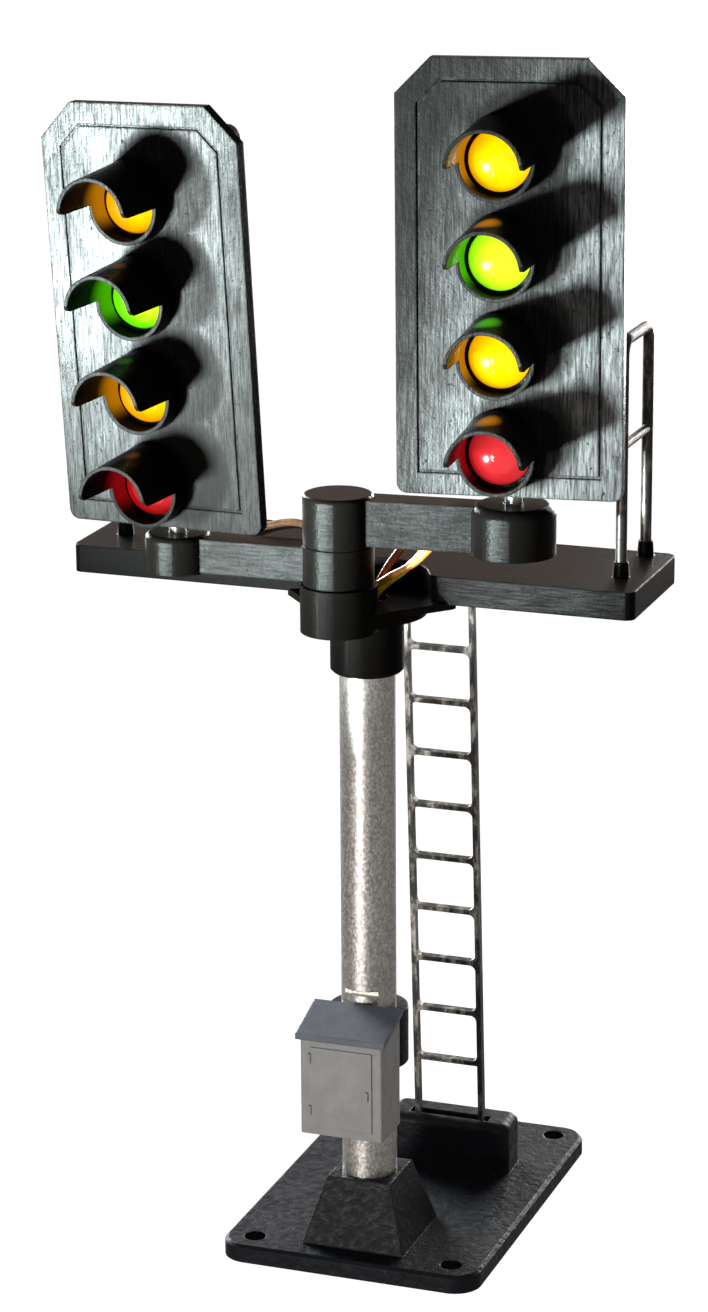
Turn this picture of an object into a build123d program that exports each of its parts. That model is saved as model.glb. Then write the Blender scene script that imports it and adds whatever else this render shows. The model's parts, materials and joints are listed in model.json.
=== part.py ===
"""Model signal mast: two four-aspect colour-light heads on swinging arms.

Millimetres. The origin is on the mast axis at the underside of the base,
+X runs along the platform, -Y is the side that the lamps face, +Z is up.
"""

import os
from math import cos, pi, radians, sin, sqrt, tan

from build123d import *

# ---------------------------------------------------------------- driving dimensions
base_width = 14.8
base_depth = 21.7
base_centre_y = 6.5
base_thickness = 1.0
base_corner_radius = 1.5
screw_spacing_x = 11.4
screw_spacing_y = 18.8
screw_hole_radius = 0.6

mast_radius = 1.5
mast_bore_radius = 1.1
mast_foot_z = 2.0
mast_top_z = 36.9
cable_bore_radius = 0.8

pyramid_foot_width = 5.8
pyramid_top_width = 3.6
pyramid_top_z = 4.7

deck_left_x = -17.0
deck_right_x = 14.5
deck_front_y = 0.2
deck_back_y = 8.7
deck_bottom_z = 37.2
deck_top_z = 38.7

neck_bottom_z = 36.5
neck_top_z = 37.3
neck_radius = 3.2

hub_x = -0.525
hub_y = -2.84
hub_radius = 1.87
hub_pin_radius = 0.8
lug_radius = 2.035
lug_bottom_z = 36.19
lug_top_z = 38.72
hub_gap = 0.04
left_hub_height = 2.08
right_hub_height = 2.69
running_clearance = 0.04

left_pivot = (-9.45, -3.05)
right_pivot = (8.75, -2.05)
left_boss_radius = 1.74
right_boss_radius = 2.2
arm_thickness = 1.7
arm_top_step = 0.12

head_width = 11.7
head_height = 22.2
head_chamfer = 1.84
plate_thickness = 0.65
plate_offset = 1.24
plate_lift = 0.57
panel_inset = 1.1
panel_line = 0.13
panel_depth = 0.08
lens_pitch = 4.97
top_lens_drop = 5.04
lens_offset_x = -0.47
bezel_radius = 2.02
bezel_wall = 0.2
bezel_length = 1.2
hood_length = 4.2
hood_rise = 0.3
lamp_radius = 1.6

ladder_x = 1.25
ladder_width = 4.1
ladder_rail = 0.3
ladder_thickness = 0.45
ladder_foot = (10.2, 3.2)
ladder_head_y = 8.0
rung_pitch = 3.115
first_rung_rise = 4.3

rail_height = 12.5
rail_mid_height = 6.95
rail_rod_radius = 0.3
rail_front_y = 3.3
rail_back_y = 8.0
rail_xs = {"left": -15.2, "right": 12.95}

cabinet_width = 4.65
cabinet_front_y = -4.5
cabinet_back_y = -1.62
cabinet_bottom_z = 8.3
cabinet_eaves_z = 13.8
cabinet_ridge_z = 14.65

wire_radius = 0.2
sleeve_radius = 0.55
sleeve_mouth_radius = 0.45
sleeve_gap = 0.35

socket_width = 7.3
socket_y = (9.3, 12.0)
socket_top_z = 4.0
socket_slot = (4.7, 0.7, 0.9)
spare_hole = (-1.5, 8.4)

ferrule_radius = 0.46
ferrule_height = 0.8
post_socket_z = 37.6

left_hub_z = lug_top_z + hub_gap
right_hub_z = left_hub_z + left_hub_height + hub_gap
pin_tip_z = right_hub_z + right_hub_height - 0.7
pin_tip_gap = 0.1
head_pin_radius = 0.45
head_pin_depth = 1.5
ARMS = {
    "left": dict(pivot=left_pivot, z=left_hub_z, height=left_hub_height, boss=left_boss_radius,
                 edge=0.3, turn=8.9, roll=1.9, lean=-2.2, sleeve_ends=(7.0, 8.6)),
    "right": dict(pivot=right_pivot, z=right_hub_z, height=right_hub_height, boss=right_boss_radius,
                  edge=0.5, turn=-6.1, roll=0.5, lean=1.2, sleeve_ends=(5.6, 8.2)),
}

cover_width = 8.0
cover_height = 20.7
cover_lift = 0.6
cover_depth = 2.8
cover_wall = 0.45
board_thickness = 0.5
board_back = 0.3
lamp_flange_radius = 1.72
lamp_flange_thickness = 0.45
lead_radius = 0.11
lead_spacing = 1.27
lamp_dome_start = 0.05
lamp_dome_height = 1.15
resistor_size = (0.65, 1.3, 0.35)
resistor_offset_x = 2.9
LAMPS = ["yellow_upper", "green", "yellow_lower", "red"]

cable_radius = 0.7
cable_ends_z = (2.3, 35.8)
wire_bore_z = 38.1
WIRES = {
    "red": ("right", (0.3, 0.5), [(1.5, 0.3, 39.6), (3.2, 0.2, 41.4)]),
    "orange": ("right", (0.1, -0.55), [(1.5, -1.0, 38.7), (3.3, -1.15, 39.9)]),
    "yellow": ("right", (0.55, -0.1), [(2.5, -0.6, 39.3), (4.0, -0.6, 40.9)]),
    "cream": ("left", (-0.6, -0.15), [(-1.6, -0.4, 40.1), (-3.4, -0.75, 41.2), (-5.2, -1.1, 41.0)]),
    "brown": ("left", (-0.3, 0.55), [(-1.5, 0.25, 39.9), (-3.2, -0.1, 40.9), (-5.0, -0.6, 40.8)]),
}

os.makedirs("parts", exist_ok=True)


def save(part, name):
    """Label one finished piece and write it as its own STEP file."""
    part.label = name
    export_step(part, f"parts/{name}.step")


# ---------------------------------------------------------------- base and mast


def make_base():
    """Base moulding: plate, pyramid boss with the mast socket, ladder socket."""
    slot_width, slot_depth_y, slot_depth = socket_slot
    with BuildPart() as base:
        with BuildSketch(Plane.XY):
            with Locations((0, base_centre_y)):
                RectangleRounded(base_width, base_depth, base_corner_radius)
        extrude(amount=base_thickness)
        chamfer(base.faces().sort_by(Axis.Z)[-1].edges(), 0.18)
        with BuildSketch(Plane.XY.offset(base_thickness)):
            with Locations((ladder_x, sum(socket_y) / 2)):
                RectangleRounded(socket_width, socket_y[1] - socket_y[0], 0.6)
        extrude(amount=socket_top_z - base_thickness)
        fillet(base.faces().sort_by(Axis.Z)[-1].edges(), 0.5)
        with Locations((ladder_x, ladder_foot[0], socket_top_z)):
            Box(slot_width, slot_depth_y, 2 * slot_depth, mode=Mode.SUBTRACT)
        with BuildSketch(Plane.XY.offset(base_thickness)):
            Rectangle(pyramid_foot_width, pyramid_foot_width)
        with BuildSketch(Plane.XY.offset(pyramid_top_z)):
            Rectangle(pyramid_top_width, pyramid_top_width)
        loft()
        with BuildSketch(Plane.XY.offset(mast_foot_z)):
            Circle(mast_radius)
        extrude(amount=pyramid_top_z, mode=Mode.SUBTRACT)
        with BuildSketch(Plane.XY):
            Circle(cable_bore_radius)
        extrude(amount=pyramid_top_z, mode=Mode.SUBTRACT)
        with BuildSketch(Plane.XY):
            with Locations((0, base_centre_y)):
                with GridLocations(screw_spacing_x, screw_spacing_y, 2, 2):
                    Circle(screw_hole_radius)
            with Locations(spare_hole):
                Circle(screw_hole_radius)
        extrude(amount=base_thickness, mode=Mode.SUBTRACT)
    save(base.part, "base_plate")


def make_mast():
    """Aluminium tube with a saw cut through its front wall."""
    saw_cut_z = 15.45
    saw_cut_depth = 0.34
    saw_cut_width = 0.26
    with BuildPart() as mast:
        with BuildSketch(Plane.XY.offset(mast_foot_z)):
            Circle(mast_radius)
            Circle(mast_bore_radius, mode=Mode.SUBTRACT)
        extrude(amount=mast_top_z - mast_foot_z)
        with Locations((0, -mast_radius, saw_cut_z)):
            Box(2 * mast_radius, 2 * saw_cut_depth, saw_cut_width, mode=Mode.SUBTRACT)
    save(mast.part, "mast_tube")

    collar_radius = 1.97
    collar_bottom_z = 33.3
    with BuildPart() as collar:
        with BuildSketch(Plane.XY.offset(collar_bottom_z)):
            Circle(collar_radius)
            Circle(mast_radius, mode=Mode.SUBTRACT)
        extrude(amount=neck_bottom_z - collar_bottom_z)
        chamfer(collar.edges().group_by(Axis.Z)[0].sort_by(SortBy.RADIUS)[-1], 0.15)
        with BuildSketch(Plane.XY.offset(lug_bottom_z)):
            with Locations((hub_x, hub_y)):
                Circle(lug_radius)
        extrude(amount=neck_bottom_z, mode=Mode.SUBTRACT)
    save(collar.part, "mast_collar")


# ---------------------------------------------------------------- platform and its fittings


def make_platform():
    """Deck, mast neck and the fixed lug of the arm hub, one moulding."""
    deck_length = deck_right_x - deck_left_x
    deck_depth = deck_back_y - deck_front_y
    deck_centre = ((deck_right_x + deck_left_x) / 2, (deck_front_y + deck_back_y) / 2)
    bite_radius = 3.4
    bite_y = -0.4
    web_x = 4.2
    web_radius = 0.5
    web_thickness = 0.4
    hub = (hub_x, hub_y)
    post_feet = [(x, y) for x in rail_xs.values() for y in (rail_front_y, rail_back_y)]
    with BuildPart() as platform:
        with BuildSketch(Plane.XY.offset(deck_bottom_z)):
            with Locations(deck_centre):
                RectangleRounded(deck_length, deck_depth, 0.5)
            with Locations((0, bite_y)):
                Circle(bite_radius, mode=Mode.SUBTRACT)
        extrude(amount=deck_top_z - deck_bottom_z)
        inner_corners = platform.edges().filter_by(Axis.Z).sort_by_distance((0, deck_front_y, deck_top_z))
        fillet(inner_corners[:2], 0.9)
        with BuildSketch(Plane.XY.offset(neck_top_z)):
            with Locations((-web_x, deck_front_y + web_radius), (web_x, deck_front_y + web_radius), hub):
                Circle(web_radius)
            Circle(neck_radius)
            make_hull()
        extrude(amount=-web_thickness)
        with BuildSketch(Plane.XY.offset(neck_bottom_z)):
            Circle(neck_radius)
            with Locations(hub):
                Circle(lug_radius)
            make_hull()
        extrude(amount=neck_top_z - neck_bottom_z)
        with BuildSketch(Plane.XY.offset(lug_bottom_z)):
            with Locations(hub):
                Circle(lug_radius)
        extrude(amount=lug_top_z - lug_bottom_z)
        with BuildSketch(Plane.XY.offset(deck_top_z)):
            with Locations(*post_feet):
                Circle(ferrule_radius)
        extrude(amount=ferrule_height, taper=5)
        with BuildSketch(Plane.XY.offset(post_socket_z)):
            with Locations(*post_feet):
                Circle(rail_rod_radius)
        extrude(amount=deck_top_z, mode=Mode.SUBTRACT)
        with BuildSketch(Plane.XY.offset(neck_bottom_z)):
            Circle(mast_bore_radius)
        extrude(amount=neck_top_z - neck_bottom_z, mode=Mode.SUBTRACT)
        with BuildSketch(Plane.XY.offset(lug_bottom_z)):
            Circle(mast_radius)
        extrude(amount=mast_top_z - lug_bottom_z, mode=Mode.SUBTRACT)
        with BuildSketch(Plane.XY.offset(lug_bottom_z)):
            with Locations(hub):
                Circle(hub_pin_radius)
        extrude(amount=lug_top_z, mode=Mode.SUBTRACT)
    save(platform.part, "platform")


def make_handrail(side):
    """One bent rod on two posts, with a mid rail between them."""
    bend_radius = 0.75
    mid_rail_radius = 0.24
    top_z = deck_top_z + rail_height
    rail_plane = Plane(origin=(rail_xs[side], 0, 0), x_dir=(0, 1, 0), z_dir=(1, 0, 0))
    with BuildPart() as handrail:
        with BuildLine(rail_plane) as path:
            FilletPolyline((rail_front_y, post_socket_z), (rail_front_y, top_z),
                           (rail_back_y, top_z), (rail_back_y, post_socket_z), radius=bend_radius)
        with BuildSketch(Plane.XY.move(Location((rail_xs[side], rail_front_y, post_socket_z)))):
            Circle(rail_rod_radius)
        sweep(path=path.line)
        with Locations((rail_xs[side], (rail_front_y + rail_back_y) / 2, deck_top_z + rail_mid_height)):
            Cylinder(mid_rail_radius, rail_back_y - rail_front_y, rotation=(90, 0, 0))
    save(handrail.part, f"handrail_{side}")


def make_ladder():
    """Ladder moulding: two stiles and ten rungs, leaning back to its socket."""
    foot_y, foot_z = ladder_foot
    climb = Vector(0, ladder_head_y - foot_y, deck_bottom_z - foot_z)
    ladder_plane = Plane(origin=(ladder_x, foot_y, foot_z), x_dir=(1, 0, 0),
                         z_dir=Vector(1, 0, 0).cross(climb))
    rung_height = 0.28
    rung_count = 10
    window = (ladder_width - 2 * ladder_rail, rung_pitch - rung_height)
    top_window_height = climb.length - first_rung_rise - (rung_count - 1) * rung_pitch - rung_height / 2
    with BuildPart() as ladder:
        with BuildSketch(ladder_plane):
            with Locations((0, climb.length / 2)):
                Rectangle(ladder_width, climb.length)
            with Locations((0, first_rung_rise + rung_pitch * (rung_count - 1) / 2)):
                with GridLocations(0, rung_pitch, 1, rung_count - 1):
                    RectangleRounded(*window, 0.35, mode=Mode.SUBTRACT)
            with Locations((0, (first_rung_rise - rung_height / 2) / 2)):
                Rectangle(window[0], first_rung_rise - rung_height / 2, mode=Mode.SUBTRACT)
            with Locations((0, climb.length - top_window_height / 2)):
                Rectangle(window[0], top_window_height, mode=Mode.SUBTRACT)
        extrude(amount=ladder_thickness / 2, both=True)
        with Locations((0, 0, deck_bottom_z)):
            Box(60, 60, 20, align=(Align.CENTER, Align.CENTER, Align.MIN), mode=Mode.SUBTRACT)
    save(ladder.part, "ladder")


# ---------------------------------------------------------------- relay cabinet
def make_cabinet():
    """Relay cabinet on the front of the mast: body, roof and spring clip."""
    door = (3.5, 4.55, 0.09)
    door_centre = (0.02, 11.05)
    side_profile = [(cabinet_front_y, cabinet_bottom_z), (cabinet_back_y, cabinet_bottom_z),
                    (cabinet_back_y, cabinet_ridge_z), (cabinet_front_y, cabinet_eaves_z)]
    with BuildPart() as body:
        with BuildSketch(Plane.YZ):
            Polygon(*side_profile, align=None)
        extrude(amount=cabinet_width / 2, both=True)
        fillet(body.edges().filter_by(Axis.Z).group_by(Axis.Y)[0], 0.12)
        with Locations((door_centre[0], cabinet_front_y, door_centre[1])):
            Box(door[0], 2 * door[2], door[1])
        with Locations((1.5, cabinet_front_y - door[2], 10.9)):
            Box(0.16, 0.2, 0.5)
        with Locations((-1.75, cabinet_front_y - door[2], 12.7), (-1.75, cabinet_front_y - door[2], 9.7)):
            Cylinder(0.09, 0.55)
    save(body.part, "cabinet_body")

    roof_thickness = 0.32
    overhang = 0.2
    slope = (cabinet_ridge_z - cabinet_eaves_z) / (cabinet_back_y - cabinet_front_y)
    front_y = cabinet_front_y - overhang
    front_z = cabinet_eaves_z - overhang * slope
    with BuildPart() as roof:
        with BuildSketch(Plane.YZ):
            Polygon((front_y, front_z), (cabinet_back_y, cabinet_ridge_z),
                    (cabinet_back_y, cabinet_ridge_z + roof_thickness),
                    (front_y, front_z + roof_thickness), align=None)
        extrude(amount=cabinet_width / 2 + overhang, both=True)
        chamfer(roof.faces().sort_by(Axis.Z)[-1].edges().filter_by(Axis.X), 0.06)
    save(roof.part, "cabinet_roof")

    clip_radius = 2.15
    clip_z = (11.2, 14.3)
    mouth_half_width = 0.9
    with BuildPart() as clip:
        with BuildSketch(Plane.XY.offset(clip_z[0])):
            Circle(clip_radius)
            Circle(mast_radius, mode=Mode.SUBTRACT)
            with Locations((0, 2 * mast_radius)):
                Rectangle(2 * mouth_half_width, 4 * mast_radius - 0.5, mode=Mode.SUBTRACT)
            with Locations((0, cabinet_back_y)):
                Rectangle(6, 6, align=(Align.CENTER, Align.MAX), mode=Mode.SUBTRACT)
        extrude(amount=clip_z[1] - clip_z[0])
    save(clip.part, "cabinet_clip")


# ---------------------------------------------------------------- hub and arms


def head_frame(side):
    """Head axes: X across the plate, Z up its swivel pin, origin on top of the arm boss.

    turn is the yaw away from straight ahead, roll tips the head sideways
    and lean tips it backwards, all in degrees.
    """
    arm = ARMS[side]
    across = Vector(1, 0, 0).rotate(Axis.Z, -arm["turn"])
    ahead = Vector(0, -1, 0).rotate(Axis.Z, -arm["turn"])
    up = Vector(0, 0, 1)
    roll, lean = radians(arm["roll"]), radians(arm["lean"])
    tipped_up = up * cos(roll) - across * sin(roll)
    tipped_across = across * cos(roll) + up * sin(roll)
    return Plane(origin=(*arm["pivot"], arm["z"] + arm["height"]), x_dir=tipped_across,
                 z_dir=tipped_up * cos(lean) - ahead * sin(lean))


def bar_plane(side):
    """Horizontal plane at the foot of the arm, X from the hub to the head's pivot."""
    arm = ARMS[side]
    hub = Vector(hub_x, hub_y, 0)
    return Plane(origin=(hub_x, hub_y, arm["z"]), x_dir=Vector(*arm["pivot"], 0) - hub, z_dir=(0, 0, 1))


def sleeve_plane(side):
    """Upright plane at the hub end of the wire sleeve, with its normal along the arm."""
    arm = ARMS[side]
    plane = bar_plane(side)
    back = 1 if side == "right" else -1
    start = plane.from_local_coords((arm["sleeve_ends"][0], back * (arm_thickness / 2 + sleeve_radius),
                                     arm["height"] / 2))
    return Plane(origin=start, x_dir=(0, 0, 1), z_dir=plane.x_dir)


def make_arm(side):
    """Arm moulding: hub ring, flat bar, and the boss that holds the head's pin."""
    arm = ARMS[side]
    plane = bar_plane(side)
    reach = (Vector(*arm["pivot"], arm["z"]) - plane.origin).length
    sleeve_start, sleeve_end = arm["sleeve_ends"]
    with BuildPart() as body:
        with BuildSketch(plane.offset(arm_top_step / 2)):
            with Locations((reach, 0)):
                Circle(arm["boss"])
        extrude(amount=arm["height"] - arm_top_step / 2)
        fillet(body.faces().sort_by(Axis.Z)[-1].edges(), arm["edge"])
        with BuildSketch(plane):
            Circle(hub_radius)
        extrude(amount=arm["height"])
        if side == "right":
            ring_top = body.edges().filter_by(GeomType.CIRCLE).group_by(Axis.Z)[-1]
            fillet(ring_top.sort_by(SortBy.RADIUS)[-1], 0.2)
        with BuildSketch(plane.offset(arm_top_step)):
            with Locations((reach / 2, 0)):
                Rectangle(reach, arm_thickness)
        extrude(amount=arm["height"] - 2 * arm_top_step)
        with BuildSketch(plane):
            Circle(hub_pin_radius + running_clearance)
        extrude(amount=min(arm["height"], pin_tip_z + pin_tip_gap - arm["z"]), mode=Mode.SUBTRACT)
        with BuildSketch(head_frame(side).offset(1)):
            Circle(head_pin_radius + running_clearance)
        extrude(amount=-1 - head_pin_depth - pin_tip_gap, mode=Mode.SUBTRACT)
        with BuildSketch(sleeve_plane(side)):
            Circle(sleeve_radius)
        extrude(amount=sleeve_end - sleeve_start, mode=Mode.SUBTRACT)
    save(body.part, f"arm_{side}")

    with BuildPart() as sleeve:
        with BuildSketch(sleeve_plane(side)):
            Circle(sleeve_radius)
        extrude(amount=sleeve_end - sleeve_start)
        with BuildSketch(sleeve_plane(side)):
            Circle(sleeve_mouth_radius)
        extrude(amount=0.6, mode=Mode.SUBTRACT)
    save(sleeve.part, f"wire_sleeve_{side}")


def make_hub_pin():
    """Pin pressed into the lug; both arms turn on it."""
    with BuildPart() as pin:
        with BuildSketch(Plane.XY.offset(lug_bottom_z)):
            with Locations((hub_x, hub_y)):
                Circle(hub_pin_radius)
        extrude(amount=pin_tip_z - lug_bottom_z)
        chamfer(pin.faces().sort_by(Axis.Z)[-1].edges(), 0.15)
    save(pin.part, "hub_pin")


# ---------------------------------------------------------------- signal heads


def lens_heights():
    """Heights of the four lens centres above the boss, top lens first."""
    top = plate_lift + head_height - top_lens_drop
    return [top - index * lens_pitch for index in range(len(LAMPS))]


def dome_sphere_radius():
    """Radius of the sphere that a lamp's dome is cut from."""
    return (lamp_radius**2 + lamp_dome_height**2) / (2 * lamp_dome_height)


def facing_plane(frame, ahead):
    """Plane across the head, this far ahead of the swivel pin, with its normal ahead."""
    origin = frame.origin - frame.y_dir * ahead
    return Plane(origin=origin, x_dir=frame.x_dir, z_dir=frame.y_dir * -1)


def panel_outline(inset, mode=Mode.ADD):
    """Outline of the plate's raised border, this far inside its edge, drawn about the plate's centre."""
    width, height = head_width / 2 - inset, head_height / 2 - inset
    corner = head_chamfer - inset * (2 - sqrt(2))
    points = [(-width, -height), (width, -height), (width, height - corner), (width - corner, height),
              (corner - width, height), (-width, height - corner)]
    Polygon(*points, align=None, mode=mode)


def make_hood():
    """Full bezel ring, and an open-bottomed hood whose top slopes down to its lip.

    The lens centre is at the origin and the hood reaches along +Z, with +Y up.
    """
    lip_corner = 0.4
    beyond = 4 * bezel_radius
    with BuildPart() as hood:
        with BuildSketch(Plane.XY):
            Ellipse(bezel_radius, bezel_radius + hood_rise)
        with BuildSketch(Plane.XY.offset(hood_length)):
            Circle(bezel_radius)
        loft()
        with BuildSketch(Plane.XY):
            Rectangle(beyond, beyond, align=(Align.CENTER, Align.MAX))
        extrude(amount=hood_length, mode=Mode.SUBTRACT)
        lip = hood.edges().filter_by(Axis.X).group_by(Axis.Z)[-1]
        fillet(lip, lip_corner)
        with BuildSketch(Plane.XY):
            Circle(bezel_radius)
        extrude(amount=bezel_length)
        with BuildSketch(Plane.XY):
            Circle(bezel_radius - bezel_wall)
        extrude(amount=hood_length, mode=Mode.SUBTRACT)
    return hood.part


def make_head(side, hood):
    """One four-aspect head: plate, cover, board, lamps, resistors and swivel pin."""
    frame = head_frame(side)
    front = facing_plane(frame, plate_offset)
    back = front.offset(-plate_thickness)
    lenses = [(lens_offset_x, height) for height in lens_heights()]
    lens_planes = [Plane(origin=front.from_local_coords((x, y, 0)), x_dir=front.x_dir, z_dir=front.z_dir)
                   for x, y in lenses]
    board_face = back.offset(cover_wall + board_back + board_thickness - cover_depth)
    cover_centre = (0, cover_lift + cover_height / 2)

    with BuildPart() as plate:
        with BuildSketch(back) as outline:
            with Locations((0, plate_lift + head_height / 2)):
                Rectangle(head_width, head_height)
            chamfer(outline.vertices().group_by(Axis.Y)[-1], head_chamfer)
            fillet(outline.vertices().group_by(Axis.Y)[0], 0.55)
        extrude(amount=plate_thickness)
        with BuildSketch(front):
            with Locations((0, plate_lift + head_height / 2)):
                panel_outline(panel_inset)
                panel_outline(panel_inset + panel_line, mode=Mode.SUBTRACT)
        extrude(amount=-panel_depth, mode=Mode.SUBTRACT)
        with BuildSketch(back):
            with Locations(*lenses):
                Circle(lamp_radius)
        extrude(amount=plate_thickness, mode=Mode.SUBTRACT)
        with Locations(*[plane.location for plane in lens_planes]):
            add(hood)
    save(plate.part, f"head_plate_{side}")

    with BuildPart() as cover:
        with BuildSketch(back):
            with Locations(cover_centre):
                RectangleRounded(cover_width, cover_height, 0.7)
        extrude(amount=-cover_depth)
        with BuildSketch(back):
            with Locations(cover_centre):
                RectangleRounded(cover_width - 2 * cover_wall, cover_height - 2 * cover_wall, 0.3)
        extrude(amount=cover_wall - cover_depth, mode=Mode.SUBTRACT)
        with BuildSketch(frame):
            Circle(head_pin_radius)
        extrude(amount=cover_lift + 2 * cover_wall, mode=Mode.SUBTRACT)
    save(cover.part, f"head_cover_{side}")

    with BuildPart() as pin:
        with BuildSketch(frame.offset(-head_pin_depth)):
            Circle(head_pin_radius)
        extrude(amount=head_pin_depth + cover_lift + cover_wall)
    save(pin.part, f"head_pin_{side}")

    with BuildPart() as board:
        with BuildSketch(board_face):
            with Locations(cover_centre):
                Rectangle(cover_width - 2 * cover_wall, cover_height - 2 * cover_wall - 1)
        extrude(amount=-board_thickness)
    save(board.part, f"lamp_board_{side}")

    for plane, lamp_name in zip(lens_planes, LAMPS):
        with BuildPart() as lamp:
            with BuildSketch(plane.offset(-plate_thickness - lamp_flange_thickness)):
                Circle(lamp_flange_radius)
            extrude(amount=lamp_flange_thickness)
            with BuildSketch(plane.offset(-plate_thickness)):
                Circle(lamp_radius)
            extrude(amount=plate_thickness + lamp_dome_start)
            with BuildSketch(Plane(origin=plane.offset(lamp_dome_start).origin, x_dir=plane.x_dir,
                                   z_dir=plane.y_dir * -1)):
                with BuildLine():
                    RadiusArc((lamp_radius, 0), (0, lamp_dome_height), -dome_sphere_radius())
                    Polyline((0, lamp_dome_height), (0, 0), (lamp_radius, 0))
                make_face()
            revolve(axis=Axis(plane.origin, plane.z_dir))
        save(lamp.part, f"lamp_{lamp_name}_{side}")

    with BuildPart() as leads:
        with BuildSketch(board_face):
            with Locations(*lenses):
                with GridLocations(lead_spacing, 0, 2, 1):
                    Circle(lead_radius)
        extrude(amount=cover_depth - cover_wall - board_back - board_thickness - lamp_flange_thickness)
    save(leads.part, f"lamp_leads_{side}")

    with BuildPart() as resistors:
        with BuildSketch(board_face):
            with Locations(*[(x + resistor_offset_x, y) for x, y in lenses]):
                Rectangle(*resistor_size[:2])
        extrude(amount=resistor_size[2])
    save(resistors.part, f"resistors_{side}")


# ---------------------------------------------------------------- wiring


def make_wire(name):
    """One lead: straight up the mast bore, then over to the mouth of its arm's sleeve."""
    side, bore_place, way_points = WIRES[name]
    sleeve = sleeve_plane(side)
    names = [wire for wire in WIRES if WIRES[wire][0] == side]
    turn = 360 * names.index(name) / len(names)
    slot = Vector(0.22, 0, 0).rotate(Axis.Z, turn)
    mouth = sleeve.from_local_coords((slot.X, slot.Y, -sleeve_gap))
    points = [Vector(*bore_place, cable_ends_z[1]), Vector(*bore_place, wire_bore_z),
              *[Vector(*point) for point in way_points], mouth]
    runs = [(end - start) for start, end in zip(points, points[1:])]
    radii = [0.45 * min(before.length, after.length) / tan(radians(before.get_angle(after) / 2))
             for before, after in zip(runs, runs[1:])]
    print(name, "bend radii", [round(radius, 2) for radius in radii])
    with BuildPart() as wire:
        with BuildLine():
            route = FilletPolyline(*points, radius=radii)
        with BuildSketch(Plane(origin=points[0], z_dir=(0, 0, 1))):
            Circle(wire_radius)
        sweep(path=route)
    print(name, "length", round(route.length, 2), "volume ratio",
          round(wire.part.volume / (pi * wire_radius**2 * route.length), 4))
    save(wire.part, f"wire_{name}")


def make_cable():
    """Bundle of all the leads inside the mast, from the base to below the neck."""
    with BuildPart() as cable:
        with BuildSketch(Plane.XY.offset(cable_ends_z[0])):
            Circle(cable_radius)
        extrude(amount=cable_ends_z[1] - cable_ends_z[0])
    save(cable.part, "mast_cable")


make_base()
make_mast()
make_platform()
make_ladder()
make_cabinet()
make_hub_pin()
make_cable()
hood_part = make_hood()
for side_name in ("left", "right"):
    make_handrail(side_name)
    make_arm(side_name)
    make_head(side_name, hood_part)
for wire_name in WIRES:
    make_wire(wire_name)
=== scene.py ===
"""Looks, light and camera for the model signal mast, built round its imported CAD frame."""

import json
from math import cos, pi, radians, sin

import bmesh
import bpy
from mathutils import Matrix, Vector


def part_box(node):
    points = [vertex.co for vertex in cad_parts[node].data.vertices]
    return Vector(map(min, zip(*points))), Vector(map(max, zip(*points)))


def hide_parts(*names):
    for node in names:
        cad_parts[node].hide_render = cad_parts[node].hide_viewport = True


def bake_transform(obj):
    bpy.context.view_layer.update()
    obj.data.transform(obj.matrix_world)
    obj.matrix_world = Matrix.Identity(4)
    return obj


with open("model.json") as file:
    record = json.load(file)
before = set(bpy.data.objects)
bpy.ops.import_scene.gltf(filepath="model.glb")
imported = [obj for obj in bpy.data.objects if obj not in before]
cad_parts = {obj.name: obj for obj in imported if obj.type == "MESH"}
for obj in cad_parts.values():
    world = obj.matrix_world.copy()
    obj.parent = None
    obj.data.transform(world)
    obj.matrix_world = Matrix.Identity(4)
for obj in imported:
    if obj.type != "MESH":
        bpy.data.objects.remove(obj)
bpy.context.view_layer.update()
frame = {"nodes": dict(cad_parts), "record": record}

MM = 0.001


# ---------------------------------------------------------------- shader helpers
def add_node(tree, kind, settings=None, **inputs):
    """A shader node with its attributes and unlinked inputs set.

    An input's value is a constant, or a socket to link from. Names use _ for a space.
    """
    node = tree.nodes.new(kind)
    for name, value in (settings or {}).items():
        setattr(node, name, value)
    for name, value in inputs.items():
        key = int(name[1:]) if name[0] == "i" and name[1:].isdigit() else name.replace("_", " ")
        if isinstance(value, bpy.types.NodeSocket):
            tree.links.new(value, node.inputs[key])
        else:
            node.inputs[key].default_value = value
    return node


def grey(value):
    """An opaque neutral colour."""
    return (value, value, value, 1)


def rgb(red, green, blue):
    """An opaque colour."""
    return (red, green, blue, 1)


def scaled(colour, factor):
    """A colour made lighter or darker by this factor."""
    return tuple(factor * part for part in colour[:3]) + (1,)


def new_material(name):
    """An empty node material: its tree, its Principled node, and its object coordinates in millimetres."""
    material = bpy.data.materials.new(name)
    material.use_nodes = True
    tree = material.node_tree
    shader = tree.nodes["Principled BSDF"]
    place = add_node(tree, "ShaderNodeTexCoord").outputs["Object"]
    return material, tree, shader, vector_math(tree, "MULTIPLY", place, (1 / MM, 1 / MM, 1 / MM))


def noise(tree, place, stretch, detail=3.0, rough=0.6, distortion=0.0):
    """Noise with so many cycles per millimetre along each axis."""
    mapped = vector_math(tree, "MULTIPLY", place, stretch)
    texture = add_node(tree, "ShaderNodeTexNoise", Vector=mapped, Scale=1.0, Detail=detail,
                       Roughness=rough, Distortion=distortion)
    return texture.outputs["Fac"]


def remap(tree, value, low, high, out_low=0.0, out_high=1.0):
    """value from low..high to out_low..out_high, clamped, with soft ends."""
    return add_node(tree, "ShaderNodeMapRange", {"interpolation_type": "SMOOTHSTEP"}, Value=value,
                    From_Min=low, From_Max=high, To_Min=out_low, To_Max=out_high).outputs[0]


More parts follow.
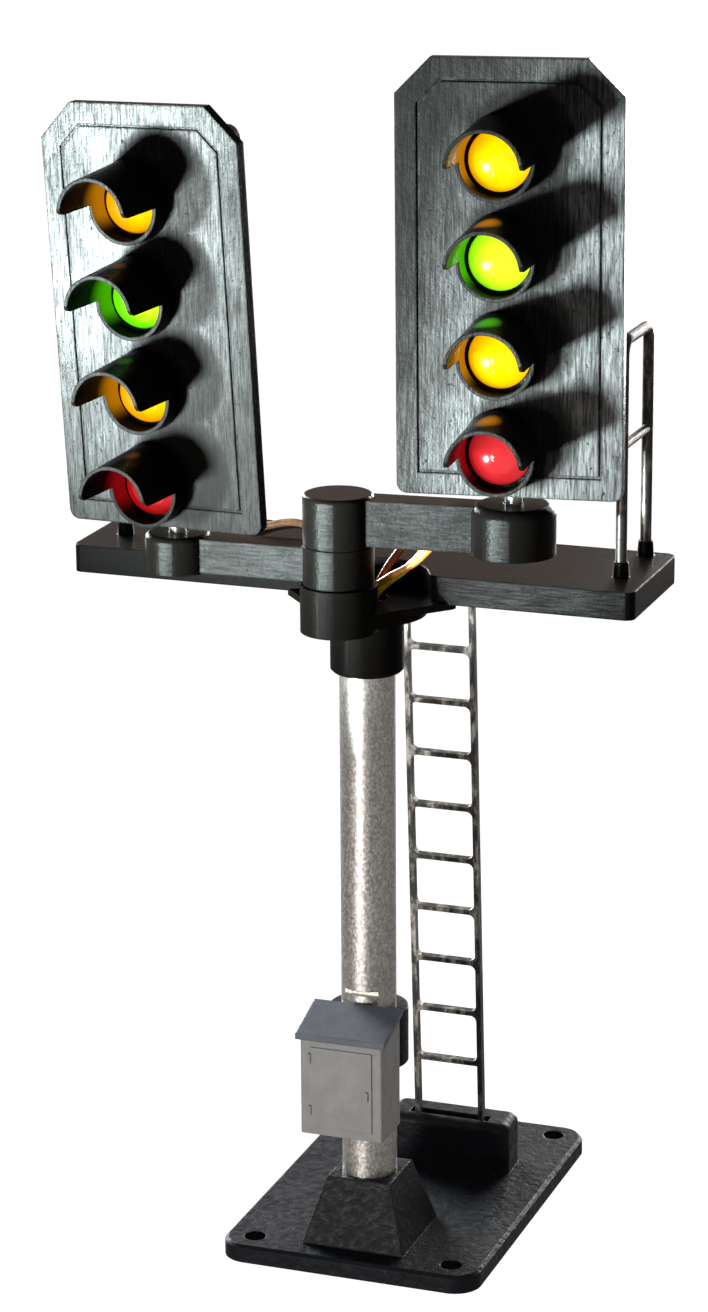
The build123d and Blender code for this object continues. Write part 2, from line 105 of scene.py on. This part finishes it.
def math_node(tree, operation, first, second=0.0):
    """One arithmetic step, clamped to 0..1."""
    return add_node(tree, "ShaderNodeMath", {"operation": operation, "use_clamp": True},
                    i0=first, i1=second).outputs[0]


def plain_math(tree, operation, first, second=0.0):
    """One arithmetic step, not clamped."""
    return add_node(tree, "ShaderNodeMath", {"operation": operation}, i0=first, i1=second).outputs[0]


def vector_math(tree, operation, first, second=(0, 0, 0)):
    """One vector step. Lengths and dot products give a number, the rest a vector."""
    node = add_node(tree, "ShaderNodeVectorMath", {"operation": operation}, i0=first, i1=second)
    return node.outputs["Value" if operation in ("LENGTH", "DOT_PRODUCT") else "Vector"]


def mix_colour(tree, factor, first, second):
    """Blend of two colours."""
    node = add_node(tree, "ShaderNodeMix", {"data_type": "RGBA"}, i0=factor, i6=first, i7=second)
    return node.outputs[2]


def edge_mask(tree, radius_mm):
    """1 on rounded-over edges, 0 on flats, with the softened normal that makes them catch light."""
    soft = add_node(tree, "ShaderNodeBevel", {"samples": 4}, Radius=radius_mm * MM).outputs[0]
    flat = add_node(tree, "ShaderNodeNewGeometry").outputs["Normal"]
    return remap(tree, vector_math(tree, "DOT_PRODUCT", soft, flat), 0.995, 0.9), soft


def bump(tree, height, strength, depth_mm, normal=None):
    """Normal for a height field of that depth."""
    node = add_node(tree, "ShaderNodeBump", Height=height, Strength=strength, Distance=depth_mm * MM)
    if normal is not None:
        tree.links.new(normal, node.inputs["Normal"])
    return node.outputs[0]


def connect(tree, shader, **inputs):
    """Set or link inputs of a shader node. Names use _ for a space."""
    for name, value in inputs.items():
        key = name.replace("_", " ")
        if isinstance(value, bpy.types.NodeSocket):
            tree.links.new(value, shader.inputs[key])
        else:
            shader.inputs[key].default_value = value


# ---------------------------------------------------------------- materials
def faces(tree, direction, low, high):
    """0 to 1 as a surface turns towards this direction, by the cosine of the angle between."""
    normal = add_node(tree, "ShaderNodeTexCoord").outputs["Normal"]
    return remap(tree, vector_math(tree, "DOT_PRODUCT", normal, direction), low, high)


def painted_sheen_pattern(tree, place):
    """Painted sheen, a set pattern of shine: stronger towards the outer sides, high on the left and low on
    the right.
    """
    crossing_z = 54.0
    axes = add_node(tree, "ShaderNodeSeparateXYZ", Vector=place).outputs
    outward = plain_math(tree, "ABSOLUTE", axes["X"])
    saddle = plain_math(tree, "MULTIPLY", axes["X"], plain_math(tree, "SUBTRACT", axes["Z"], crossing_z))
    shinier = plain_math(tree, "SUBTRACT", plain_math(tree, "MULTIPLY", outward, 0.14),
                       plain_math(tree, "MULTIPLY", saddle, 0.006))
    lean = plain_math(tree, "ADD", plain_math(tree, "MULTIPLY", axes["X"], 0.025), 1.0)
    return remap(tree, plain_math(tree, "MULTIPLY", shinier, lean), 0.3, 2.0, 0.04, 1)


def seen_from(tree, place, centre):
    """Distance to a point, in millimetres, and how far above the surface that point lies."""
    normal = add_node(tree, "ShaderNodeTexCoord").outputs["Normal"]
    inward = vector_math(tree, "SUBTRACT", tuple(centre), place)
    return vector_math(tree, "LENGTH", inward), vector_math(tree, "DOT_PRODUCT", normal, inward)


def painted_lamp_glow(tree, place, spots):
    """Painted light of each lit lamp, given as emission: a glow inside its own hood and a spot on the hood
    below.

    spots is a list of lamp centres, colours and how far the light reaches, in millimetres.
    The second value returned is a mask of the hoods, their bezels and the painted shadow beside them.
    """
    beam_start = Vector((0, -2.6, 0))
    painted_shadow_place = Vector((1.4, -1.2, 1.0))
    overhead = faces(tree, (0, 0, -1), -0.8, -0.3)
    upward = faces(tree, (0, 0, 1), 0.6, 0.9)
    glow = rgb(0, 0, 0)
    hoods = 0.0
    for centre, colour, reach in spots:
        away, height = seen_from(tree, place, centre)
        # Painted glow inside the hood, on its underside near the lamp.
        inside = math_node(tree, "MULTIPLY", overhead, remap(tree, height, 1.3, 1.6))
        inside = math_node(tree, "MULTIPLY", remap(tree, away, reach, 1.9), inside)
        glow = mix_colour(tree, inside, glow, colour)
        # Painted spot of the lamp's light on the top of the hood below.
        away, height = seen_from(tree, place, centre + beam_start)
        fallen = math_node(tree, "MULTIPLY", remap(tree, away, 3.05, 2.7), remap(tree, height, 2.3, 2.45))
        fallen = math_node(tree, "MULTIPLY", fallen, upward)
        glow = mix_colour(tree, fallen, glow, colour)
        hoods = math_node(tree, "MAXIMUM", hoods, remap(tree, away, 3.2, 2.9))
        # Painted shadow: a patch up and to the right of each hood, where the shine is taken down.
        away, _ = seen_from(tree, place, centre + painted_shadow_place)
        hoods = math_node(tree, "MAXIMUM", hoods, remap(tree, away, 3.5, 2.6))
    return glow, hoods


def rubbed_moulding(name, grain, sheen, rest, painted_sheen=False, spots=()):
    """Black moulding whose front faces are sanded along one axis, so they shine in streaks.

    grain is the cycles per millimetre along each axis, sheen is how strongly the sanded
    streaks shine and rest how strongly the untouched skin does. The fifth argument, when true,
    paints in sheen, stronger towards the outer sides, high on the left and low on the right.
    spots, where given, are the lit lamps, as painted_lamp_glow takes them; their light is painted
    into the hoods.
    """
    material, tree, shader, place = new_material(name)
    skin_roughness = 0.2 if spots else 0.28
    nick_depth = 0.09 if spots else 0.03
    front = faces(tree, (0, -1, 0), 0.973, 0.986)
    # Painted light: faces turned to the back get a lighter colour and more shine than the front, so they
    # don't go black when lit from behind.
    painted_back_lift = faces(tree, (0, 1, 0), -0.1, 0.5)
    fine = noise(tree, place, grain, detail=5, rough=0.75)
    scratches = noise(tree, place, tuple(2.6 * cycles for cycles in grain), detail=2, rough=0.5)
    broad = noise(tree, place, (0.35, 0.35, 0.25), detail=3, distortion=0.6)
    pits = noise(tree, place, (4.5, 4.5, 3.6), detail=3, rough=0.65)
    nicks = noise(tree, place, (1.4, 1.4, 1.4), detail=4, rough=0.7)
    edges, soft = edge_mask(tree, 0.14)

    streaks = math_node(tree, "MULTIPLY", remap(tree, fine, 0.36, 0.62, 0.22),
                        remap(tree, broad, 0.3, 0.62, 0.5))
    streaks = math_node(tree, "MULTIPLY", streaks, remap(tree, scratches, 0.3, 0.5, 0.5))
    shine = math_node(tree, "MULTIPLY", streaks, remap(tree, pits, 0.3, 0.39, 0.1))
    worn = math_node(tree, "MULTIPLY", edges, remap(tree, nicks, 0.46, 0.6, 0.005, nick_depth))
    # Painted sheen: the shine follows a set pattern of bright and dull areas.
    if painted_sheen:
        shine = math_node(tree, "MULTIPLY", shine, painted_sheen_pattern(tree, place))
    if spots:
        # Painted lamp light in the hoods, given as emission.
        glow, hoods = painted_lamp_glow(tree, place, spots)
        connect(tree, shader, Emission_Color=glow, Emission_Strength=1.0)
        # Shine and edge wear are taken down on the hoods and in the painted shadow beside them.
        shine = math_node(tree, "MULTIPLY", shine, remap(tree, hoods, 0, 1, 1, 0.2))
        worn = math_node(tree, "MULTIPLY", worn, remap(tree, hoods, 0, 1, 1, 0.12))
    shine = math_node(tree, "MULTIPLY", shine, math_node(tree, "SUBTRACT", front, edges))
    # The colour lightens a little with the shine, so the painted sheen and the painted shadow beside the
    # hoods show in the colour too.
    worn = math_node(tree, "MAXIMUM", worn, math_node(tree, "MULTIPLY", shine, 0.05))
    # Painted light: extra shine on faces turned to the back.
    shine = math_node(tree, "ADD", math_node(tree, "MULTIPLY", shine, sheen),
                      math_node(tree, "MULTIPLY", painted_back_lift, 0.35))

    height = math_node(tree, "ADD", math_node(tree, "MULTIPLY", fine, 0.4),
                       math_node(tree, "MULTIPLY", pits, 0.6))
    # Painted light: the skin is near black on the front and lighter on faces turned to the back.
    skin = mix_colour(tree, painted_back_lift, rgb(0.0034, 0.0029, 0.0025), rgb(0.014, 0.013, 0.0125))
    skin_shine = remap(tree, edges, 0, 1, rest, 0.4 * rest)
    connect(tree, shader, Base_Color=mix_colour(tree, worn, skin, rgb(0.16, 0.17, 0.17)),
            Roughness=remap(tree, front, 0, 1, skin_roughness, 0.5),
            Specular_IOR_Level=math_node(tree, "ADD", skin_shine, shine),
            Normal=bump(tree, height, 0.8, 0.045, soft))
    return material


def satin_moulding(name, colour, roughness, depth_mm, pebble=3.2, dust=0.05, shine=0.4):
    """Dark injection moulding with a slightly pebbled skin and dusty scuffs."""
    material, tree, shader, place = new_material(name)
    skin = noise(tree, place, (pebble, pebble, pebble), detail=4, rough=0.55)
    scuffs = noise(tree, place, (0.5, 0.5, 0.5), detail=6, rough=0.7, distortion=0.6)
    edges, soft = edge_mask(tree, 0.1)
    dusty = math_node(tree, "ADD", remap(tree, scuffs, 0.5, 0.75, 0, dust),
                      math_node(tree, "MULTIPLY", edges, dust))
    connect(tree, shader, Base_Color=mix_colour(tree, dusty, colour, rgb(0.42, 0.41, 0.4)),
            Roughness=remap(tree, skin, 0.3, 0.7, roughness - 0.08, roughness + 0.12),
            Specular_IOR_Level=shine, Normal=bump(tree, skin, 0.6, depth_mm, soft))
    return material


def satin_aluminium(name):
    """Drawn aluminium tube: fine specks and faint lengthwise draw lines."""
    material, tree, shader, place = new_material(name)
    specks = noise(tree, place, (7, 7, 5), detail=3, rough=0.7)
    lines = noise(tree, place, (6, 6, 0.12), detail=2, rough=0.5)
    stain = noise(tree, place, (0.7, 0.7, 0.35), detail=4, rough=0.6)
    _, soft = edge_mask(tree, 0.08)
    tone = mix_colour(tree, remap(tree, specks, 0.3, 0.7), rgb(0.38, 0.36, 0.34), rgb(0.76, 0.73, 0.69))
    tone = mix_colour(tree, remap(tree, stain, 0.52, 0.8, 0, 0.45), tone, rgb(0.3, 0.28, 0.26))
    rough = math_node(tree, "ADD", remap(tree, specks, 0.3, 0.7, 0.28, 0.42),
                      remap(tree, stain, 0.4, 0.8, 0, 0.1))
    height = math_node(tree, "ADD", math_node(tree, "MULTIPLY", specks, 0.7),
                       math_node(tree, "MULTIPLY", lines, 0.3))
    connect(tree, shader, Base_Color=tone, Metallic=0.9, Roughness=rough,
            Normal=bump(tree, height, 0.45, 0.02, soft))
    return material


def blackened_wire(name, bare, cover_low, cover_high):
    """Bright metal under a blackened coat that has rubbed through in patches.

    The coat is whole where the patch noise is below cover_low and gone above cover_high.
    """
    material, tree, shader, place = new_material(name)
    patches = noise(tree, place, (1.6, 1.6, 0.5), detail=5, rough=0.7)
    grain = noise(tree, place, (9, 9, 9), detail=2)
    edges, soft = edge_mask(tree, 0.05)
    shown = math_node(tree, "MAXIMUM", remap(tree, patches, cover_low, cover_high),
                      math_node(tree, "MULTIPLY", edges, 0.6))
    connect(tree, shader, Base_Color=mix_colour(tree, shown, rgb(0.02, 0.018, 0.016), bare),
            Metallic=remap(tree, shown, 0, 1, 0.3, 0.95),
            Roughness=remap(tree, grain, 0.3, 0.7, 0.3, 0.48),
            Normal=bump(tree, grain, 0.4, 0.015, soft))
    return material


def turned_steel(name):
    """Bright pin with fine turning rings."""
    material, tree, shader, place = new_material(name)
    rings = noise(tree, place, (0.4, 0.4, 16), detail=2)
    _, soft = edge_mask(tree, 0.05)
    connect(tree, shader, Base_Color=mix_colour(tree, rings, grey(0.45), grey(0.75)), Metallic=1.0,
            Roughness=remap(tree, rings, 0.3, 0.7, 0.2, 0.34), Normal=bump(tree, rings, 0.4, 0.008, soft))
    return material


def flat_paint(name, colour, shade):
    """Brush paint over a moulding: soft mottling, worn edges, a little grain."""
    material, tree, shader, place = new_material(name)
    mottle = noise(tree, place, (1.1, 1.1, 0.8), detail=5, rough=0.65)
    grain = noise(tree, place, (8, 8, 8), detail=3)
    edges, soft = edge_mask(tree, 0.09)
    tone = mix_colour(tree, remap(tree, mottle, 0.35, 0.7), shade, colour)
    tone = mix_colour(tree, math_node(tree, "MULTIPLY", edges, 0.35), tone, scaled(colour, 1.7))
    connect(tree, shader, Base_Color=tone, Roughness=remap(tree, grain, 0.3, 0.7, 0.44, 0.6),
            Specular_IOR_Level=0.4, Normal=bump(tree, grain, 0.5, 0.02, soft))
    return material


def insulation(name, colour):
    """Glossy wire insulation with slight handling marks."""
    material, tree, shader, place = new_material(name)
    marks = noise(tree, place, (2.5, 2.5, 2.5), detail=4)
    worn = remap(tree, marks, 0.5, 0.75)
    connect(tree, shader, Base_Color=mix_colour(tree, worn, colour, scaled(colour, 0.55)),
            Roughness=remap(tree, marks, 0.3, 0.7, 0.25, 0.45), Subsurface_Weight=0.1,
            Subsurface_Scale=0.3 * MM, Normal=bump(tree, marks, 0.3, 0.02))
    return material


def soft_rubber(name, colour):
    """Dull shrink sleeve or jacket, faintly wrinkled."""
    material, tree, shader, place = new_material(name)
    wrinkles = noise(tree, place, (3, 8, 8), detail=3)
    connect(tree, shader, Base_Color=mix_colour(tree, wrinkles, colour, grey(0.05)),
            Roughness=remap(tree, wrinkles, 0.3, 0.7, 0.5, 0.7), Normal=bump(tree, wrinkles, 0.6, 0.03))
    return material


def circuit_board(name):
    """Green solder mask over the weave of its laminate, with tinned pads."""
    material, tree, shader, place = new_material(name)
    weave = noise(tree, place, (3.2, 3.2, 3.2), detail=1)
    pads = add_node(tree, "ShaderNodeTexVoronoi", Vector=place, Scale=0.8).outputs["Distance"]
    pad = remap(tree, pads, 0.22, 0.2)
    connect(tree, shader, Base_Color=mix_colour(tree, pad, rgb(0.02, 0.12, 0.05), grey(0.6)), Metallic=pad,
            Roughness=remap(tree, weave, 0.3, 0.7, 0.3, 0.4), Normal=bump(tree, weave, 0.3, 0.02))
    return material


def lit_lamp(name, core, rim, strength, hot_spot, reach):
    """Tinted lamp glowing from inside: hottest at one spot, deeper towards the rim and flange.

    hot_spot and reach, how far the core colour carries, are in millimetres.
    """
    material, tree, shader, place = new_material(name)
    away = vector_math(tree, "LENGTH", vector_math(tree, "SUBTRACT", place, tuple(hot_spot)))
    fall = remap(tree, away, 0.25 * reach, reach)
    swirl = noise(tree, place, (0.9, 0.9, 0.9), detail=2, distortion=0.8)
    fall = math_node(tree, "ADD", fall, remap(tree, swirl, 0.45, 0.8, 0, 0.2))
    glow = mix_colour(tree, fall, core, rim)
    connect(tree, shader, Base_Color=scaled(rim, 0.06), Roughness=0.12, Coat_Weight=0.6,
            Coat_Roughness=0.05, Emission_Color=glow,
            Emission_Strength=remap(tree, fall, 0, 1, strength, 0.75 * strength))
    return material


MATERIALS = {
    "base_plastic": satin_moulding("base_plastic", rgb(0.009, 0.0105, 0.0135), roughness=0.4,
                                   depth_mm=0.1, pebble=2.4, dust=0.02, shine=0.09),
    "mast_aluminium": satin_aluminium("mast_aluminium"),
    "deck_plastic": rubbed_moulding("deck_plastic", (0.6, 9, 9), sheen=0.15, rest=0.015, painted_sheen=True),
    "rail_steel": blackened_wire("rail_steel", rgb(0.24, 0.21, 0.18), 0.5, 0.75),
    "ladder_steel": blackened_wire("ladder_steel", rgb(0.42, 0.4, 0.37), 0.46, 0.66),
    "pin_steel": turned_steel("pin_steel"),
    "arm_plastic": rubbed_moulding("arm_plastic", (0.7, 9, 10), sheen=0.08, rest=0.035),
    "cabinet_plastic": flat_paint("cabinet_plastic", rgb(0.27, 0.27, 0.267), rgb(0.23, 0.23, 0.228)),
    "cabinet_roof_plastic": flat_paint("cabinet_roof_plastic", rgb(0.105, 0.12, 0.15),
                                       rgb(0.08, 0.092, 0.118)),
    "cover_plastic": satin_moulding("cover_plastic", rgb(0.016, 0.015, 0.0145), roughness=0.4,
                                    depth_mm=0.04, dust=0.03),
    "board_laminate": circuit_board("board_laminate"),
    "lead_wire": turned_steel("lead_wire"),
    "resistor_black": satin_moulding("resistor_black", grey(0.02), roughness=0.25, depth_mm=0.01),
    "cable_jacket": soft_rubber("cable_jacket", grey(0.02)),
    "sleeve_black": soft_rubber("sleeve_black", rgb(0.02, 0.018, 0.016)),
    "wire_yellow": insulation("wire_yellow", rgb(0.85, 0.68, 0.02)),
    "wire_orange": insulation("wire_orange", rgb(0.5, 0.2, 0.03)),
    "wire_red": insulation("wire_red", rgb(0.22, 0.03, 0.02)),
    "wire_cream": insulation("wire_cream", rgb(0.7, 0.42, 0.25)),
    "wire_brown": insulation("wire_brown", rgb(0.07, 0.035, 0.02)),
}

# Core colour, rim colour and strength of each kind of lamp.
LAMP_LIGHT = {
    "lens_yellow": (rgb(1.0, 0.72, 0.0), rgb(0.85, 0.30, 0.0), 1.3),
    "lens_green": (rgb(0.75, 1.0, 0.02), rgb(0.1, 0.75, 0.0), 1.5),
    "lens_red": (rgb(1.0, 0.05, 0.06), rgb(0.4, 0.003, 0.006), 0.85),
}
# The left head is seen more from the side, so its lamps look dimmer: how bright they are
# against the right ones, and how far the core colour and the painted light in the hood carry, in mm.
LAMP_SIDE = {"left": (0.8, 1.9, 3.0), "right": (1.0, 2.6, 3.8)}
HOT_SPOT = Vector((0.7, -0.8, 0.1))


def side_of(name):
    """left or right, the last word of a paired piece's name."""
    return name.rsplit("_", 1)[1]


def lamp_middle(name):
    """Centre of a lamp, in millimetres."""
    low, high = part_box(name)
    return (low + high) / 2 / MM


def lamp_material(name, slot):
    """Material of one lamp, with its light placed from the lamp's own box."""
    core, rim, strength = LAMP_LIGHT[slot]
    brightness, core_reach, _ = LAMP_SIDE[side_of(name)]
    return lit_lamp(name, core, rim, brightness * strength, lamp_middle(name) + HOT_SPOT, core_reach)


def head_plate_material(side):
    """Material of one head's front plate, with that head's lamp light painted inside its hoods."""
    hood_reach = LAMP_SIDE[side][2]
    spots = [(lamp_middle(lamp), scaled(LAMP_LIGHT[slot][1], 0.55), hood_reach)
             for lamp, slot in slot_of.items() if slot in LAMP_LIGHT and side_of(lamp) == side]
    return rubbed_moulding(f"head_plastic_{side}", (10, 10, 0.5), sheen=1.0, rest=0.012,
                           painted_sheen=True, spots=spots)


slot_of = {entry["node"]: entry["material_slot"] for entry in frame["record"]["subparts"]}
for node_name, node_object in frame["nodes"].items():
    slot_name = slot_of[node_name]
    if slot_name in LAMP_LIGHT:
        material = lamp_material(node_name, slot_name)
    elif slot_name == "head_plastic":
        material = head_plate_material(side_of(node_name))
    else:
        material = MATERIALS[slot_name]
    node_object.data.materials.clear()
    node_object.data.materials.append(material)


# ---------------------------------------------------------------- leads across the arm pivots
WIRE_RADIUS = 0.2
BORE_FOOT_Z = 35.8
BEND_START_Z = 37.5
# Side, place in the mast's bore, points on the way, and the mouth of the sleeve, in millimetres.
WIRES = {
    "red": ("right", (0.3, 0.5), [(1.5, 0.3, 39.6), (3.2, 0.2, 41.4)], (5.2, -0.95, 42.4)),
    "orange": ("right", (0.1, -0.55), [(1.5, -1.0, 38.7), (3.3, -1.15, 39.9)], (5.2, -1.12, 42.1)),
    "yellow": ("right", (0.55, -0.1), [(2.5, -0.6, 39.3), (4.0, -0.6, 40.9)], (5.2, -0.75, 42.1)),
    "cream": ("left", (-0.6, -0.15), [(-1.6, -0.4, 40.1), (-3.4, -0.75, 41.2), (-5.2, -1.1, 41.0)],
              (-7.6, -1.6, 40.0)),
    "brown": ("left", (-0.3, 0.55), [(-1.5, 0.25, 39.9), (-3.2, -0.1, 40.9), (-5.0, -0.6, 40.8)],
              (-7.6, -1.6, 39.6)),
}


def smooth_route(points, steps=10):
    """Points along a curve through these, by Catmull and Rom's rule."""
    padded = [2 * points[0] - points[1], *points, 2 * points[-1] - points[-2]]
    route = []
    for a, b, c, d in zip(padded, padded[1:], padded[2:], padded[3:]):
        for step in range(steps):
            t = step / steps
            route.append(0.5 * (2 * b + (c - a) * t + (2 * a - 5 * b + 4 * c - d) * t**2
                                + (3 * b - a - 3 * c + d) * t**3))
    return route + [points[-1]]


def tube(name, route, radius, sides=16):
    """Round closed tube along a route, with its ring kept from twisting."""
    shape = bmesh.new()
    rings = []
    side = Vector((1, 0, 0))
    for index, point in enumerate(route):
        ahead = (route[min(index + 1, len(route) - 1)] - route[max(index - 1, 0)]).normalized()
        side = (side - ahead * side.dot(ahead)).normalized()
        up = ahead.cross(side)
        angles = [2 * pi * corner / sides for corner in range(sides)]
        rings.append([shape.verts.new(point + radius * (side * cos(a) + up * sin(a))) for a in angles])
    for lower, upper in zip(rings, rings[1:]):
        for corner in range(sides):
            after = (corner + 1) % sides
            shape.faces.new((lower[corner], lower[after], upper[after], upper[corner]))
    shape.faces.new(list(reversed(rings[0])))
    shape.faces.new(rings[-1])
    for face in shape.faces:
        face.smooth = True
    mesh = bpy.data.meshes.new(name)
    shape.to_mesh(mesh)
    shape.free()
    piece = bpy.data.objects.new(name, mesh)
    bpy.context.scene.collection.objects.link(piece)
    return piece


for colour, (side_name, bore_place, way_points, mouth) in WIRES.items():
    stops = [(*bore_place, BORE_FOOT_Z), (*bore_place, BEND_START_Z), *way_points, mouth]
    lead = tube(f"lead_{colour}", smooth_route([Vector(stop) * MM for stop in stops]), WIRE_RADIUS * MM)
    lead.data.materials.append(MATERIALS[f"wire_{colour}"])
    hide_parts(f"wire_{colour}")
    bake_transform(lead)


# ---------------------------------------------------------------- light, floor and camera
def place_light(name, data, place, target):
    """Put a light at place, facing target, both in millimetres."""
    light = bpy.data.objects.new(name, data)
    bpy.context.scene.collection.objects.link(light)
    light.location = Vector(place) * MM
    light.rotation_euler = (Vector(target) - Vector(place)).to_track_quat("-Z", "Y").to_euler()


def spot_light(name, place, target, radius, watts, colour, cone):
    """A small lamp with a round beam; its radius is in millimetres and its cone in degrees."""
    data = bpy.data.lights.new(name, "SPOT")
    data.shadow_soft_size = radius * MM
    data.energy = watts
    data.color = colour
    data.spot_size = radians(cone)
    data.spot_blend = 0.25
    place_light(name, data, place, target)


def area_light(name, place, target, size, watts, colour, spread):
    """A square soft light; its size is in millimetres and the spread of its beam in degrees."""
    data = bpy.data.lights.new(name, "AREA")
    data.size = size * MM
    data.energy = watts
    data.color = colour
    data.spread = radians(spread)
    place_light(name, data, place, target)


spot_light("key", (-50, -76, 22), (-2, -5, 55), 9, 6.0, (0.85, 1, 1), 23)
area_light("front", (-50, -200, 10), (0, 0, 19), 50, 0.0060, (1, 0.97, 0.92), 16)
area_light("back", (-67, 180, 92), (0, 0, 42), 60, 0.00012, (1, 0.48, 0.24), 26)
area_light("rim", (10, 95, 60), (0, 8, 1), 30, 0.0006, (0.9, 0.97, 1), 20)
area_light("rear_left", (-160, 130, 90), (0, 5, 38), 90, 0.13, (0.95, 0.98, 1), 45)
area_light("rear_right", (15, 210, 50), (0, 5, 38), 90, 0.055, (1, 0.97, 0.93), 45)

world = bpy.data.worlds.new("dim_room")
bpy.context.scene.world = world
world.use_nodes = True
connect(world.node_tree, world.node_tree.nodes["Background"], Color=rgb(1.0, 0.97, 0.93), Strength=0.25)


def backdrop_material(name):
    """White surface with its own light, which shows only a faint shadow."""
    material, tree, shader, place = new_material(name)
    fleck = noise(tree, place, (0.05, 0.05, 0.05), detail=2)
    connect(tree, shader, Base_Color=grey(0.12), Roughness=0.9, Specular_IOR_Level=0.0,
            Emission_Color=grey(1.0), Emission_Strength=remap(tree, fleck, 0, 1, 1.0, 1.01))
    return material


def backdrop(name, mesh_maker):
    """A stage piece that is seen but lights nothing."""
    mesh = bpy.data.meshes.new(name)
    shape = bmesh.new()
    mesh_maker(shape)
    shape.to_mesh(mesh)
    shape.free()
    piece = bpy.data.objects.new(name, mesh)
    bpy.context.scene.collection.objects.link(piece)
    piece.data.materials.append(backdrop_material(name))
    piece.visible_diffuse = False
    piece.visible_glossy = False
    piece.visible_transmission = False
    piece.visible_shadow = False


def make_floor(shape):
    """Round floor under the base."""
    bmesh.ops.create_circle(shape, cap_ends=True, radius=1.5, segments=96)


def make_surround(shape):
    """Pale shell all round, well outside the camera."""
    bmesh.ops.create_icosphere(shape, subdivisions=4, radius=1.4)


backdrop("floor", make_floor)
backdrop("surround", make_surround)

camera_place = Vector((67.398, -186.208, 91.554))
azimuth, pitch, roll = radians(20.10), radians(16.19), radians(-0.36)
back = Vector((sin(azimuth) * cos(pitch), -cos(azimuth) * cos(pitch), sin(pitch)))
level = Vector((0, 0, 1)).cross(back).normalized()
upright = back.cross(level)
camera_right = level * cos(roll) + upright * sin(roll)
camera_up = upright * cos(roll) - level * sin(roll)
camera_data = bpy.data.cameras.new("camera")
camera_data.lens = 106.74
camera_data.sensor_width = 36
camera_data.clip_start, camera_data.clip_end = 0.01, 10
camera = bpy.data.objects.new("camera", camera_data)
bpy.context.scene.collection.objects.link(camera)
rotation = Matrix((camera_right, camera_up, back)).transposed().to_4x4()
camera.matrix_world = Matrix.Translation(camera_place * MM) @ rotation
bpy.context.scene.camera = camera
bpy.context.scene.view_settings.view_transform = "Standard"
